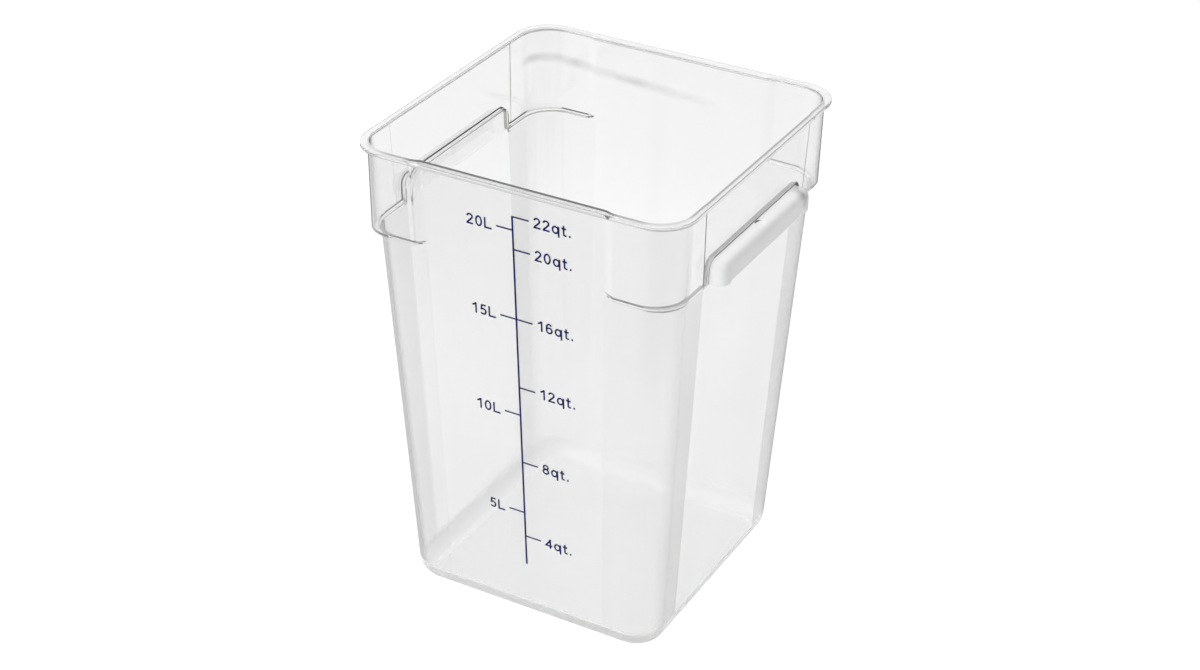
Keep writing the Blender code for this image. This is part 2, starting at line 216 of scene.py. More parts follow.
@dataclass(frozen=True)
class ClearPlastic:
    """Clear polycarbonate: glossy at the band and rim, faintly frosted below.

    Its masks lie in the bucket's frame. Body is all that is under the ledge,
    and corner the round corners. Column is the outer skin past the panels, and
    flank its grained flats beside the grips. Foot is the rounded bottom edge,
    which gets a soft grey veil of painted shade, and thin pale lines of painted
    highlight run along it, at the floor's level and across the back. Rim is the
    flange's corners, and mouth its top, but for the middle of the front, which
    gets a pale veil of painted light. A soft grey line high on the back wall is
    a painted reflection. Dark lines of painted shade follow the inner ledge and
    notch, the grips' seats, where they are a painted shadow in the gap, and the
    silhouette of the band's corners.
    """

    shell: "BucketShell"
    tint: Colour = grey(0.93)
    haze: Colour = (0.50, 0.50, 0.51)
    haze_density: float = 12.0
    refraction: float = 1.585
    gloss: float = 0.01
    skin: Span = (0.4, 0.6)
    blend: float = 0.012
    frost: float = 0.09
    frost_edge: float = 0.002
    frost_blend: float = 0.12
    column_frost: float = 0.25
    foot_frost: float = 0.35
    rim_frost: float = 0.22
    cloud_scale: float = 14.0
    cloud_low: float = 0.7
    cloud_span: float = 0.6
    grain: float = 0.00006
    grain_scale: float = 900.0
    grain_depth: float = 0.3
    flank_edge: float = 0.0004
    flank_fade: float = 0.016
    # the veil's grey, for the frost, and for the painted shade on the foot and the painted reflection on the
    # back wall
    milk: Colour = grey(0.42)
    # painted light for the highlight lines, the foot and the flange's top
    pale: Colour = grey(0.97)
    # painted shade for the dark lines and the grips' painted shadow
    dark: Colour = grey(0.02)
    veil_roughness: float = 0.5
    body_milk: float = 0.015
    band_milk: float = 0.15
    column_milk: float = 0.035
    flank_milk: float = 0.10
    corner_milk: float = 2.40
    edge_milk: float = 0.80
    foot_low: float = 0.4
    foot_blend: float = 0.002
    # painted shade: the foot's grey veil, made paler in part by painted light
    foot_shade: float = 0.11
    foot_light: float = 0.45
    # painted highlight: the pale lines along the foot, at the floor's level and across the back
    glint_width: float = 0.0020
    glint_back: Span = (0.0, 0.1)
    glint_light: float = 0.24
    floor_rise: float = 0.0001
    floor_line: float = 0.0009
    rim_rise: float = 0.003
    mouth_rise: Span = (0.0022, 0.0031)
    mouth_back: Span = (-0.130, -0.115)
    mouth_side: Span = (0.078, 0.092)
    # painted light: how strongly the flange's top is veiled paler
    mouth_light: float = 0.35
    # painted reflection: a soft grey line high on the back wall
    streak_z: float = 0.3675
    streak_fall: float = 0.05
    streak_half: float = 0.0060
    streak_run: Span = (-0.04, 0.05)
    streak_back: Span = (0.10, 0.12)
    streak_scale: float = 45.0
    streak_gain: float = 1.4
    streak_shade: float = 0.22
    # painted shade: a dark line along the inner ledge and notch
    ledge_shade_line: float = 0.0008
    ledge_shade_out: Span = (0.0010, 0.0027)
    ledge_shade: float = 0.90
    # painted shadow: a dark line in the gap where the grips sit against the wall
    seat_shadow_line: float = 0.0018
    seat_shadow_out: Span = (0.0020, 0.0022)
    seat_shadow_dark: float = 1.0
    # painted shade: a dark line on the band's corners where they turn away at the silhouette
    silhouette_slant: Span = (0.55, 0.75)
    silhouette_shade_dark: float = 0.85
    shadow: float = 1.0

    def corner_place(self, x: Value, y: Value, z: Value) -> tuple[Value, Value, Value]:
        """Return how far a point lies past the corner's centre, in x and y, and under the body's skin."""
        radius = self.shell.corner_radius(z)
        start = self.shell.body_half(z) - radius
        along_x = (abs(x) - start).greater(0.0)
        along_y = (abs(y) - start).greater(0.0)
        return along_x, along_y, radius - (along_x * along_x + along_y * along_y) ** 0.5

    def foot_masks(self, y: Value, z: Value) -> tuple[Value, Value]:
        """Return the foot's mask, for its painted shade, and the mask of the painted highlight lines."""
        top = self.shell.foot_round
        foot = z.rise(0.0, self.foot_low * top) * z.fall(top - self.foot_blend, top)
        # painted highlight lines along the foot's top, at the floor's level and across the back
        painted_glint = (z - (top - self.glint_width / 2)).window(self.glint_width)
        painted_glint = painted_glint.greater((z - (self.shell.floor + self.floor_rise)).window(self.floor_line))
        back = (z - top / 2).window(self.glint_width) * y.rise(*self.glint_back)
        return foot, painted_glint.greater(back)

    def notch_masks(self, y: Value, z: Value, depth: Value) -> tuple[Value, Value]:
        """Return the masks of the painted shade line along the inner ledge and notch, and of the painted
        shadow along the grips' seats.
        """
        shell = self.shell
        past_y = (abs(y) - (shell.notch_width - shell.notch_round)).greater(0.0)
        past_z = (z - (shell.notch_z - shell.notch_round)).greater(0.0)
        past = (past_y * past_y + past_z * past_z) ** 0.5 - shell.notch_round
        out = 0 - depth
        least, most = self.ledge_shade_out
        # painted shade: a dark line along the inner ledge and notch
        edge = (z - (shell.ledge_z + shell.wall)).window(self.ledge_shade_line)
        edge = edge.greater((past - shell.wall).window(self.ledge_shade_line)) * (out - least).window(most - least)
        # painted shadow: a dark line in the gap where the grips sit against the wall
        return edge, past.window(self.seat_shadow_line) * out.rise(*self.seat_shadow_out)

    def painted_streak_mask(self, x: Value, y: Value, z: Value, noise: Value) -> Value:
        """Return the mask of the soft, uneven grey line on the back wall, a painted reflection."""
        off = abs(z - self.streak_z + x * self.streak_fall)
        line = off.fall(0.0, self.streak_half) * x.fall(*self.streak_run)
        return line * y.rise(*self.streak_back) * (noise * self.streak_gain)

    def material(self) -> Material:
        """Return the material, with its frost and grain below the ledge."""
        shell = self.shell
        graph = Graph.for_material("clear polycarbonate")
        point, x, y, z = graph.coordinates("Object")
        below = z.fall(shell.ledge_z - self.frost_edge, shell.ledge_z)
        body = z.fall(shell.ledge_z - self.frost_blend, shell.ledge_z)
        along_x, along_y, depth = self.corner_place(x, y, z)
        outside = depth.fall(*(share * shell.wall for share in self.skin))
        corner = along_x.lesser(along_y).rise(0.0, self.blend)
        column = (abs(x).lesser(abs(y)) - shell.panel_half(z)).rise(0.0, self.flank_edge) * outside * below
        flank = column * along_y.fall(0.0, self.flank_fade)
        # painted shade on the foot, and painted highlight lines along it
        foot, painted_glint = self.foot_masks(y, z)
        rim = corner * z.rise(shell.lip_z - self.rim_rise, shell.lip_z)
        # painted light: a pale veil on the flange's top, but for the middle of the front
        mouth = (z - shell.lip_z).rise(*self.mouth_rise) * y.rise(*self.mouth_back).greater(
            abs(x).rise(*self.mouth_side))
        # painted reflection: the soft grey line on the back wall
        streak = self.painted_streak_mask(x, y, z, graph.noise(point, self.streak_scale))
        # painted shade lines along the ledge and notch, and painted shadow along the grips' seats
        edge, seat_shadow = self.notch_masks(y, z, depth)
        cloud = graph.noise(point, self.cloud_scale)
        grain = graph.noise(point, self.grain_scale)
        frost = body * (self.cloud_low + self.cloud_span * cloud) * self.frost
        frost = frost + flank * (self.column_frost - self.frost)
        frost = frost + rim * self.rim_frost + foot * self.foot_frost
        plastic = graph.principled({
            "Base Color": graph.blend(body, WHITE, self.tint), "Roughness": frost + self.gloss,
            "IOR": self.refraction, "Transmission Weight": 1.0,
            "Normal": graph.bump(grain * flank, self.grain, self.grain_depth)})
        facing = graph.node("ShaderNodeLayerWeight", inputs={"Blend": 0.5}, output="Facing")
        slant = facing * facing
        # painted shade: a dark line on the band's corners at the silhouette
        silhouette_shade = corner * outside * (1 - below) * slant.rise(*self.silhouette_slant)
        # the veil is paler where light is painted and near black where shade is painted
        shade = graph.blend(painted_glint.greater(foot * self.foot_light).greater(mouth), self.milk, self.pale)
        shade = graph.blend(edge.greater(seat_shadow).greater(silhouette_shade), shade, self.dark)
        milky = graph.principled({"Base Color": shade, "Roughness": self.veil_roughness})
        veil = (flank * grain * (2 * self.flank_milk) + column * self.column_milk
                + corner * slant * slant * self.corner_milk + below * slant ** 4 * self.edge_milk
                + body * self.body_milk + (1 - body) * (1 - facing) * self.band_milk
                + foot * self.foot_shade + painted_glint * self.glint_light + mouth * self.mouth_light
                + streak * self.streak_shade)
        veil = veil.greater(edge * self.ledge_shade).greater(seat_shadow * self.seat_shadow_dark)
        veil = veil.greater(silhouette_shade * self.silhouette_shade_dark)
        skin = graph.mix(veil, plastic, milky)
        surface = graph.mix(graph.light_path("Is Shadow Ray"), skin, graph.see_through(self.shadow))
        inside = graph.node("ShaderNodeVolumeAbsorption", inputs={
            "Color": self.haze, "Density": self.haze_density})
        return graph.finish(surface, inside)


@dataclass(frozen=True)
class GripPlastic:
    """Milky white frosted plastic that lets soft light through.

    Its outer flank is painted greyer as shade, and a thin dark line of painted
    shade marks the inner half of the round dimple. It is clearer for rays that
    came through clear plastic.
    """

    grip: "Grip"
    colour: Colour = grey(0.98)
    # painted shade: the outer flank's grey, as if it faced away from the lamps
    flank: Colour = grey(0.42)
    flank_shade_blend: float = 0.0055
    clear: Colour = grey(0.99)
    milk: float = 0.45
    refraction: float = 1.30
    roughness: float = 0.35
    mottle: float = 0.12
    mottle_scale: float = 30.0
    grain: float = 0.00005
    grain_scale: float = 700.0
    grain_depth: float = 0.2
    # painted shade: the dark line on the inner half of the dimple's rim
    dimple_shade_line: float = 0.0007
    dimple_shade_dark: Colour = grey(0.05)
    bonded: float = 0.85
    shadow: float = 0.96

    def material(self) -> Material:
        """Return the material, with a faint moulded grain."""
        graph = Graph.for_material("white grip plastic")
        point, x, y, _ = graph.coordinates("Object")
        edge, radius = self.grip.high.x, self.grip.dimple_radius
        # painted shade: greyer towards the outer flank
        outer = abs(x).rise(edge - self.flank_shade_blend, edge)
        inward = edge - self.grip.dimple_inset - abs(x)
        ring = abs((inward * inward + y * y) ** 0.5 - radius)
        # painted shade: a dark line on the inner half of the dimple's rim
        dimple_shade = inward.rise(0.0, radius) * ring.fall(self.dimple_shade_line / 2, self.dimple_shade_line)
        colour = graph.blend(dimple_shade, graph.blend(outer, self.colour, self.flank), self.dimple_shade_dark)
        cloud = graph.noise(point, self.mottle_scale)
        skin = {"Roughness": cloud * self.mottle + (self.roughness - self.mottle / 2),
                "Normal": graph.bump(graph.noise(point, self.grain_scale), self.grain, self.grain_depth)}
        clear = graph.principled({
            "Base Color": self.clear, "IOR": self.refraction, "Transmission Weight": 1.0, **skin})
        milky = graph.principled({"Base Color": colour, **skin})
        body = graph.mix(dimple_shade.greater(self.milk), clear, milky)
        lit = graph.light_path("Is Shadow Ray").greater(graph.light_path("Is Transmission Ray") * self.bonded)
        return graph.finish(graph.mix(lit, body, graph.see_through(self.shadow)))


@dataclass(frozen=True)
class ScaleInk:
    """Navy blue printing ink."""

    colour: Colour = (0.0008, 0.0025, 0.075)
    thin: Colour = (0.0015, 0.006, 0.12)
    patch_scale: float = 260.0
    speck_scale: float = 400.0
    smoothest: float = 0.4
    unevenness: float = 0.2
    shine: float = 0.15

    def material(self) -> Material:
        """Return the material, printed a little unevenly."""
        graph = Graph.for_material("navy scale ink")
        point = graph.coordinates("Object")[0]
        speck = graph.noise(point, self.speck_scale)
        return graph.finish(graph.principled({
            "Base Color": graph.blend(graph.noise(point, self.patch_scale), self.colour, self.thin),
            "Roughness": speck * self.unevenness + self.smoothest, "Specular IOR Level": self.shine}))


@dataclass(frozen=True)
class StudioFloor:
    """A plain white light table under the bucket."""

    colour: Colour = grey(0.5)
    glow: float = 0.59

    def material(self) -> Material:
        """Return the plain material."""
        graph = Graph.for_material("light table")
        return graph.finish(graph.principled({
            "Base Color": self.colour, "Roughness": 1.0, "Specular IOR Level": 0.0,
            "Emission Color": WHITE, "Emission Strength": self.glow}))


def ease(share: float) -> float:
    """Return the smooth rise from 0 to 1 at a share of the way."""
    return share * share * (3 - 2 * share)


def eased_points(start: Place, end: Place, steps: int, even: Axis) -> Outline:
    """Points from a start to an end, as over a soft step.

    Args:
        start: where they start.
        end: where they end.
        steps: how many steps it takes.
        even: the axis along which the steps are even, and not eased.

    Returns:
        The points.
    """
    points = []
    for step in range(steps + 1):
        shares = [ease(step / steps)] * 3
        shares[even.value] = step / steps
        points.append(Vector([low + (high - low) * share for low, high, share in zip(start, end, shares)]))
    return points


def quarter_turn(steps: int) -> list[Span]:
    """Return the (sine, cosine) pairs of a quarter turn that is cut into so many steps."""
    angles = [math.pi / 2 * step / steps for step in range(steps + 1)]
    return [(math.sin(angle), math.cos(angle)) for angle in angles]


def closed_pairs(loop: list[BMVert]) -> Iterable[tuple[BMVert, BMVert]]:
    """Return a closed loop's pairs of neighbours."""
    return zip(loop, loop[1:] + loop[:1])


def add_object(name: str, data: ID) -> Object:
    """Return a new object with its data, linked into the scene."""
    made = bpy.data.objects.new(name, data)
    bpy.context.scene.collection.objects.link(made)
    return made


def add_mesh(name: str, bm: BMesh) -> Object:
    """Return a new object made of a bmesh, which is freed."""
    mesh = bpy.data.meshes.new(name)
    bm.to_mesh(mesh)
    bm.free()
    return add_object(name, mesh)


def modified_mesh(scratch: Object) -> Mesh:
    """Return an object's mesh with its modifiers applied."""
    bpy.context.view_layer.update()
    return scratch.evaluated_get(bpy.context.evaluated_depsgraph_get()).to_mesh()


def add_piece(name: str, bm: BMesh, finish: Material, slot: Slot | None = None,
              stands_for: str | None = None, sharp: float | None = None) -> None:
    """Make a bmesh a piece that rides on the bucket.

    Args:
        name: the piece's name.
        bm: the finished shape, which is freed.
        finish: its material.
        slot: the record's slot of its finish, if it has one; not used.
        stands_for: the CAD node that it replaces, if it replaces one.
        sharp: the angle past which an edge is sharp. Without it, all are.
    """
    piece = add_mesh(name, bm)
    piece.data.materials.append(finish)
    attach(piece, BODY)
    if stands_for:
        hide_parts(stands_for)
    if sharp:
        piece.data.shade_smooth()
        piece.data.set_sharp_from_angle(angle=sharp)
        weighted = piece.modifiers.new("even normals", "WEIGHTED_NORMAL")
        weighted.keep_sharp = True
        weighted.weight = NORMAL_WEIGHT
    else:
        piece.data.shade_flat()
    LOG.info("%s: %d faces", name, len(piece.data.polygons))


@dataclass
class BucketShell:
    """The clear moulded bucket, drawn up through its quarter outlines.

    Half is how far a wall lies from the middle, z its level, and inset how far
    it lies inside the outer face: 0 outside, and the wall inside.
    """

    height: float
    rim_width: float
    wall: float = 0.0018
    floor: float = 0.0026
    rim_corner: float = 0.0294
    lip_thickness: float = 0.0035
    lip_overhang: float = 0.0044
    lip_round: float = 0.0008
    mouth_round: float = 0.0006
    band_height: float = 0.07275
    band_draft: float = math.radians(1.89)
    mouth_thinning: float = 0.0003
    band_corner_low: float = 0.0220
    band_corner_high: float = 0.0277
    ledge_step: float = 0.00372
    ledge_round: float = 0.0008
    ledge_fillet: float = 0.0008
    panel_width: float = 0.0753
    panel_draft: float = math.radians(1.04)
    ramp_run: float = 0.0100
    ramp_lift: float = 0.0025
    side_line: float = 0.0875
    side_lean: float = 0.05
    side_step: float = 0.0004
    side_run: float = 0.0007
    notch_width: float = 0.0752
    notch_rise: float = 0.01935
    notch_round: float = 0.0065
    notch_draft: float = 0.0003
    body_draft: float = math.radians(3.07)
    body_corner: float = 0.0275
    corner_taper: float = 0.0077
    column_step: float = 0.0002
    column_run: float = 0.0030
    column_start: float = 0.2
    foot_round: float = 0.0168
    corner_steps: int = 20
    notch_steps: int = 8
    foot_steps: int = 10
    ramp_steps: int = 6
    side_steps: int = 3
    fillet_steps: int = 4
    sharp: float = math.radians(50)

    def __post_init__(self) -> None:
        """Work out the levels that follow from the sizes."""
        self.ledge_z = self.height - self.band_height
        self.wall_top = self.ledge_z - 3 * self.ledge_round
        self.lip_z = self.height - self.lip_thickness
        self.notch_z = self.ledge_z + self.notch_rise
        self.band_foot_z = self.notch_z + self.wall + 2 * self.ledge_fillet

    def band_half(self, z: float) -> float:
        """Return the half width of the band's corner lugs at a level."""
        drop = (self.lip_z - z) * math.tan(self.band_draft)
        return self.rim_width / 2 - self.lip_overhang - drop

    def body_half(self, z: float | Value) -> float | Value:
        """Return the half width of the body, and of the flush panels, at a level."""
        drop = (self.ledge_z - z) * math.tan(self.body_draft)
        return self.band_half(self.ledge_z) - self.ledge_step - drop

    def panel_half(self, z: float | Value) -> float | Value:
        """Return the half width of the flat panel at a level."""
        return self.panel_width - (self.ledge_z - z) * math.tan(self.panel_draft)

    def corner_radius(self, z: float | Value) -> float | Value:
        """Return the body's corner radius at a level."""
        return self.body_corner - (self.ledge_z - z) * self.corner_taper

    def band_radius(self, z: float) -> float:
        """Return the band's corner radius at a level."""
        share = (z - self.ledge_z) / (self.lip_z - self.ledge_z)
        return self.band_corner_low + share * (self.band_corner_high - self.band_corner_low)

    def notch_path(self, offset: float) -> list[Span]:
        """Return (y, z) pairs up the notch's end and round to its middle, offset into the wall."""
        centre_y = self.notch_width - self.notch_round
        centre_z = self.notch_z - self.notch_round
        radius = self.notch_round + offset
        points = [(self.notch_width + self.notch_draft + offset, self.ledge_z + offset)]
        points += [(centre_y + radius * along, centre_z + radius * up)
                   for up, along in quarter_turn(self.notch_steps)]
        return points + [(0.0, self.notch_z + offset)]

    def round_insets(self, radius: float) -> list[Span]:
        """Return how far the points of a round edge lie inside its two faces."""
        return [(radius * (1 - along), radius * (1 - up)) for along, up in quarter_turn(self.fillet_steps)]

    def corner_arc(self, half: float, radius: float, z: float) -> Outline:
        """Return one round corner's points, from the front's end to the side's."""
        centre = half - radius
        return [Vector((centre + radius * along, centre + radius * back, z))
                for along, back in quarter_turn(self.corner_steps)]

    def front_points(self, flush: float, flush_z: float, half: float, z: float, run: float) -> Outline:
        """Return the points from the front's flush middle over a ramp of some run to half and z."""
        panel = self.panel_half(z)
        ramp = eased_points((panel, flush, flush_z), (panel + run, half, z), self.ramp_steps, Axis.X)
        return [Vector((0, flush, flush_z))] + ramp

    def lug_points(self, flush: float, flush_z: float, half: float, z: float, radius: float,
                   step: float, run: float) -> Outline:
        """Points from the front's middle round a corner lug and over a grip side's line.

        Args:
            flush: how far the front panel lies from the middle.
            flush_z: its level.
            half: how far the lug lies from the middle.
            z: its level.
            radius: its corner radius.
            step: how far the side's panel stands out from it.
            run: how wide that step is.

        Returns:
            The points.
        """
        points = self.front_points(flush, flush_z, half, z, self.ramp_run)
        points += self.corner_arc(half, radius, z)
        place = self.side_line - (self.lip_z - max(z, self.ledge_z)) * self.side_lean
        return points + eased_points((half, place + run, z), (half + step, place, z), self.side_steps, Axis.Y)

    def body_ring(self, z: float, half: float) -> Outline:
        """Return a quarter outline of the body."""
        risen = min(max(z / self.foot_round - self.column_start, 0.0), 1.0)
        proud = half + self.column_step * ease(risen)
        panel = self.panel_half(z)
        ring = self.front_points(half, z, proud, z, self.column_run)
        ring += self.corner_arc(proud, self.corner_radius(z) - (self.body_half(z) - half), z)
        ring += eased_points((proud, ring[-1].y, z), (half, panel, z), self.side_steps + 3, Axis.Y)[1:-1]
        ring += [Vector((half, panel - (self.notch_width - y), z)) for y, _ in self.notch_path(0)[1:-1]]
        return ring + [Vector((half, 0, z))]

    def band_ring(self, z: float, inset: float, path_offset: float) -> Outline:
        """Return a quarter outline of the band, with its points above those of a notch path."""
        half = self.band_half(z) - inset
        ring = self.lug_points(self.body_half(z) - inset, z, half, z, self.band_radius(z) - inset,
                               self.side_step, self.side_run + inset)
        return ring + [Vector((half + self.side_step, y, z)) for y, _ in self.notch_path(path_offset)]

    def rim_ring(self, z: float, inset: float) -> Outline:
        """Return a quarter outline of the rim flange, inset from its edge."""
        half = self.rim_width / 2 - inset
        ring = self.lug_points(half, z, half, z, self.rim_corner - inset, 0.0, self.side_run)
        return ring + [Vector((half, y, z)) for y, _ in self.notch_path(self.ledge_round)]

    def ledge_ring(self, out: float, rise: float, flush_rise: float, inset: float) -> Outline:
        """A quarter outline along the ledge under the band.

        Args:
            out: how far it stands out from the body's face, up to the ledge's step.
            rise: how far it lies inside the wall from the ledge's underside.
            flush_rise: its height on the flush panels, which have no ledge.
            inset: how far the wall lies inside the outer face.

        Returns:
            The outline.
        """
        z = self.ledge_z + rise
        step = self.band_half(z) - self.body_half(z)
        share = min(out / self.ledge_step, 1.0)
        proud = self.column_step * (1 - share)
        radius = self.band_radius(z) * share + self.corner_radius(z) * (1 - share) - inset
        half = self.body_half(z) - inset + step * share + proud
        flush_z = self.ledge_z + self.ramp_lift + flush_rise
        ring = self.lug_points(self.body_half(flush_z) - inset, flush_z, half, z, radius,
                               self.side_step * share, self.side_run + inset)
        for index, (y, path_z) in enumerate(self.notch_path(rise)):
            reach = share * (self.band_half(path_z) + self.side_step - self.body_half(path_z))
            foot = proud if index == 0 else 0.0
            ring.append(Vector((self.body_half(path_z) - inset + foot + reach, y, path_z)))
        return ring

    def foot_rings(self, radius: float, floor_z: float, inset: float) -> list[Outline]:
        """Return the outlines round a bottom edge of some radius, from its floor to the wall."""
        centre = self.body_half(floor_z + radius) - inset - radius / math.cos(self.body_draft)
        rings = []
        for step in range(self.foot_steps + 1):
            angle = (math.pi / 2 - self.body_draft) * step / self.foot_steps - math.pi / 2
            z = floor_z + radius + radius * math.sin(angle)
            rings.append(self.body_ring(z, centre + radius * math.cos(angle)))
        return rings

    def ledge_rings(self, inset: float) -> list[Outline]:
        """Return the outlines from the body's top over the ledge to the band's foot."""
        low = self.ledge_round
        high = self.ledge_fillet if inset else low
        places = [(up, inset - out) for out, up in self.round_insets(low)]
        places += [(self.ledge_step - out, inset + up) for out, up in self.round_insets(high)]
        rings = [self.body_ring(self.wall_top, self.body_half(self.wall_top) - inset)]
        for index, (out, rise) in enumerate(places):
            flush_rise = inset + low * (2 * index / (len(places) - 1) - 1)
            rings.append(self.ledge_ring(out, rise, flush_rise, inset))
        return rings + [self.band_ring(self.band_foot_z, inset, inset + high)]

    def outer_rings(self) -> list[Outline]:
        """Return the outlines up the outside, from the base to the flange."""
        rings = self.foot_rings(self.foot_round, 0.0, 0.0) + self.ledge_rings(0.0)
        return rings + [self.band_ring(self.lip_z, 0.0, self.ledge_round)]

    def lip_rings(self) -> list[Outline]:
        """Return the outlines round the flange's edge, from below to its top."""
        insets = self.round_insets(self.lip_round)
        under = [self.rim_ring(self.lip_z + up, out) for out, up in insets]
        return under + [self.rim_ring(self.height - out, up) for out, up in insets]

    def inner_rings(self) -> list[Outline]:
        """Return the outlines down the inside, from the mouth to the floor."""
        path = self.wall + self.ledge_fillet
        wall = self.wall - self.mouth_thinning
        rings = [self.band_ring(self.height - up, wall - out, path)
                 for out, up in self.round_insets(self.mouth_round)]
        rings += self.ledge_rings(self.wall)[::-1]
        return rings + self.foot_rings(self.foot_round - self.wall, self.floor, self.wall)[::-1]

    @staticmethod
    def whole(quarter: Outline) -> Outline:
        """Return the closed outline that a quarter makes with its three mirror images."""
        right = quarter + [Vector((p.x, -p.y, p.z)) for p in quarter[-2::-1]]
        return right + [Vector((-p.x, p.y, p.z)) for p in right[-2:0:-1]]

    @staticmethod
    def draw_up(bm: BMesh, loop: list[BMVert], outline: Outline) -> list[BMVert]:
        """Extrude a closed loop, move its copy to the next outline and return the copy."""
        edges = [bm.edges.get(pair) for pair in closed_pairs(loop)]
        made = set(bmesh.ops.extrude_edge_only(bm, edges=edges)["geom"])
        above = [next(copy for edge in vert.link_edges if (copy := edge.other_vert(vert)) in made)
                 for vert in loop]
        for vert, place in zip(above, outline):
            vert.co = place
        return above

    def build(self, finish: Material) -> None:
        """Build the shell of one material in one skin, outside, lip and inside."""
        outlines = [self.whole(ring) for ring in self.outer_rings() + self.lip_rings() + self.inner_rings()]
        bm = bmesh.new()
        loop = [bm.verts.new(point) for point in outlines[0]]
        first = [bm.edges.new(pair) for pair in closed_pairs(loop)]
        for outline in outlines[1:]:
            loop = self.draw_up(bm, loop, outline)
        last = [bm.edges.get(pair) for pair in closed_pairs(loop)]
        for rim in (first, last):
            bmesh.ops.edgeloop_fill(bm, edges=rim)
        bmesh.ops.recalc_face_normals(bm, faces=bm.faces)
        add_piece("clear_bucket", bm, finish, Slot.CLEAR, "bucket_body", self.sharp)


@dataclass
class Grip:
    """One white grip, seated in the notch of a side wall.

    Each round is a radius with the number of faces that make it.
    """

    low: Vector
    high: Vector
    slope: float
    end_round: Round = (0.0090, 12)
    top_round: Round = (0.0078, 10)
    lower_round: Round = (0.0025, 5)
    end_length: float = 0.0095
    waist: float = 0.0008
    shoulder: float = 0.0012
    skin: float = 0.0030
    groove_end: float = 0.0110
    groove_round: Round = (0.0022, 6)
    dimple_radius: float = 0.0042
    dimple_depth: float = 0.0008
    dimple_inset: float = 0.0085
    dimple_round: Round = (0.0004, 3)
    dimple_sides: int = 48
    sharp: float = math.radians(35)

    def back(self, z: float) -> float:
        """Return where the grip's back lies at a level."""
        return self.low.x + (z - self.low.z) * math.tan(self.slope)

    @staticmethod
    def box(low: Vector, high: Vector) -> BMesh:
        """Return a bmesh box between two corners."""
        bm = bmesh.new()
        place = Matrix.Translation((low + high) / 2) @ Matrix.Diagonal((*(high - low), 1))
        bmesh.ops.create_cube(bm, size=1.0, matrix=place)
        return bm

    @staticmethod
    def split(bm: BMesh, place: Place, normal: Place, clear: bool = False) -> None:
        """Cut a shape along a plane, and clear what lies behind it if asked."""
        bmesh.ops.bisect_plane(bm, geom=bm.verts[:] + bm.edges[:] + bm.faces[:], dist=CUT_SLACK,
                               plane_co=place, plane_no=normal, clear_inner=clear)

    @staticmethod
    def round_off(bm: BMesh, test: Callable[[Vector, Vector], bool], radius: float, segments: int) -> None:
        """Round the edges that pass a test of where their two ends are."""
        edges = [edge for edge in bm.edges if test(edge.verts[0].co, edge.verts[1].co)]
        bmesh.ops.bevel(bm, geom=edges, offset=radius, segments=segments, profile=0.5,
                        affect="EDGES", material=-1)

    def slim(self, bm: BMesh) -> None:
        """Make the middle a little slimmer than the two end blocks."""
        foot = self.high.y - self.end_length
        for y in (foot, foot - self.shoulder / 2, foot - self.shoulder):
            for side in (y, -y):
                self.split(bm, (0, side, 0), (0, 1, 0))
        depth = self.high.x - self.back(self.high.z)
        tall = self.high.z - self.low.z
        for vert in bm.verts:
            share = min(max((foot - abs(vert.co.y)) / self.shoulder, 0.0), 1.0)
            draw = self.waist * ease(share)
            out = vert.co.x - self.back(vert.co.z)
            vert.co.z = self.high.z - (self.high.z - vert.co.z) * (1 - draw / tall)
            vert.co.x = self.back(vert.co.z) + out * (1 - draw / depth)

    def block(self) -> BMesh:
        """Return the rounded bar before its groove and dimple are cut."""
        tall = self.high.z - self.low.z
        inner = self.low.x - tall
        middle = (inner + self.high.x) / 2
        tiny = tall * TINY_SHARE
        bm = self.box(Vector((inner, self.low.y, self.low.z)), self.high)
        self.round_off(bm, lambda a, b: a.x > middle and b.x > middle and abs(a.z - b.z) > tiny,
                       *self.end_round)
        for level, size in ((self.high.z, self.top_round), (self.low.z, self.lower_round)):
            self.round_off(bm, lambda a, b: abs(a.z - level) + abs(b.z - level) < tiny
                           and max(a.x, b.x) > middle, *size)
        normal = (math.cos(self.slope), 0, -math.sin(self.slope))
        self.split(bm, (self.low.x, 0, self.low.z), normal, clear=True)
        bmesh.ops.edgeloop_fill(bm, edges=[edge for edge in bm.edges if edge.is_boundary])
        self.slim(bm)
        return bm

    def cutters(self) -> Iterable[BMesh]:
        """Yield the finger groove and the dimple, as closed shapes to cut away."""
        end, skin = self.groove_end, self.skin
        low = Vector((self.back(self.high.z) + skin, self.low.y + end, self.low.z - skin))
        high = Vector((self.high.x - self.waist - skin, self.high.y - end, self.high.z - skin))
        groove = self.box(low, high)
        self.round_off(groove, lambda a, b: max(a.z, b.z) > self.low.z, *self.groove_round)
        yield groove
        dimple = bmesh.new()
        place = Matrix.Translation((self.high.x - self.dimple_inset, 0, self.high.z))
        bmesh.ops.create_cone(dimple, cap_ends=True, segments=self.dimple_sides, radius1=self.dimple_radius,
                              radius2=self.dimple_radius, depth=2 * self.dimple_depth, matrix=place)
        self.round_off(dimple, lambda a, b: max(a.z, b.z) < self.high.z, *self.dimple_round)
        yield dimple

    def build(self, name: str, node: str, turn: float, finish: Material) -> None:
        """Build the grip that stands for a CAD node, turned about Z from the +X side."""
        scratch = add_mesh("grip blank", self.block())
        tools = [add_mesh("grip tool", shape) for shape in self.cutters()]
        for tool in tools:
            cut = scratch.modifiers.new("cut", "BOOLEAN")
            cut.operation = "DIFFERENCE"
            cut.object = tool
        bm = bmesh.new()
        bm.from_mesh(modified_mesh(scratch))
        for old in (scratch, *tools):
            bpy.data.objects.remove(old, do_unlink=True)
        bmesh.ops.rotate(bm, verts=bm.verts, cent=(0, 0, 0), matrix=Matrix.Rotation(turn, 3, "Z"))
        add_piece(name, bm, finish, Slot.WHITE, node, self.sharp)


